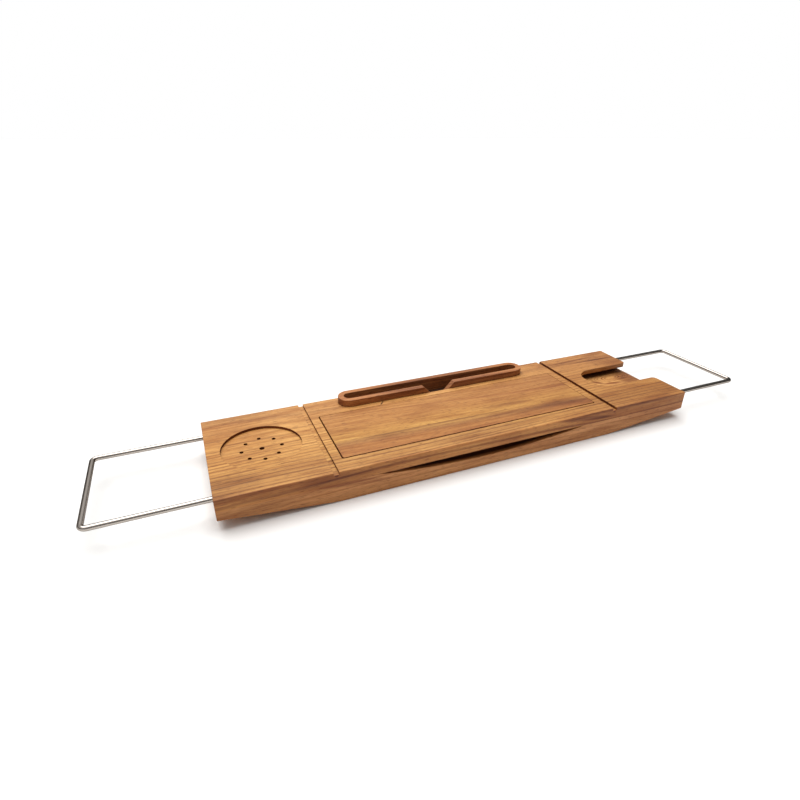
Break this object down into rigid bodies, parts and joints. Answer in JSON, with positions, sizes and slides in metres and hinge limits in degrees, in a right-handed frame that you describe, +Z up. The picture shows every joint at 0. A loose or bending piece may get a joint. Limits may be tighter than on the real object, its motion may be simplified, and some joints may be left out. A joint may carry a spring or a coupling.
{
  "type": "bath caddy",
  "caption": "Teak bath tray with sliding wire arms, a slotted reading rail, a loose middle board, a soap recess with drain holes and a stemmed-glass holder.",
  "frame": {"origin": "centre of the flat middle of the underside", "axes": "+X along the tray to the glass holder's end, +Y to the back where the reading rail is, +Z up"},
  "size_m": [0.8174, 0.1574, 0.0446],
  "materials": {
    "deck_teak": "oiled, fine straight grain",
    "lower_teak": "oiled, straight grain",
    "rail_teak": "oiled, darker heartwood",
    "board_teak": "oiled, streaked",
    "stainless_steel": "polished round wire",
    "nylon": "plain turned sleeve",
    "rubber": "plain moulded sleeve"
  },
  "bodies": {
    "tray": {"deck_board": "deck_teak", "lower_board": "lower_teak", "reading_rail": "rail_teak", "left_front_bush": "nylon", "left_back_bush": "nylon", "right_front_bush": "nylon", "right_back_bush": "nylon"},
    "left_arm": {"left_arm": "stainless_steel", "left_front_rod_stop": "rubber", "left_back_rod_stop": "rubber"},
    "right_arm": {"right_arm": "stainless_steel", "right_front_rod_stop": "rubber", "right_back_rod_stop": "rubber"},
    "lift_out_board": {"lift_out_board": "board_teak"}
  },
  "joints": [
    {"name": "left_arm_slide", "type": "slide", "parent": "tray", "child": "left_arm", "axis": [-1, 0, 0], "range_m": [-0.092, 0.004]},
    {"name": "right_arm_slide", "type": "slide", "parent": "tray", "child": "right_arm", "axis": [1, 0, 0], "range_m": [-0.092, 0.004]},
    {"name": "lift_out_board_lift", "type": "slide", "parent": "tray", "child": "lift_out_board", "axis": [0, 0, 1], "range_m": [0, 0.04]}
  ]
}
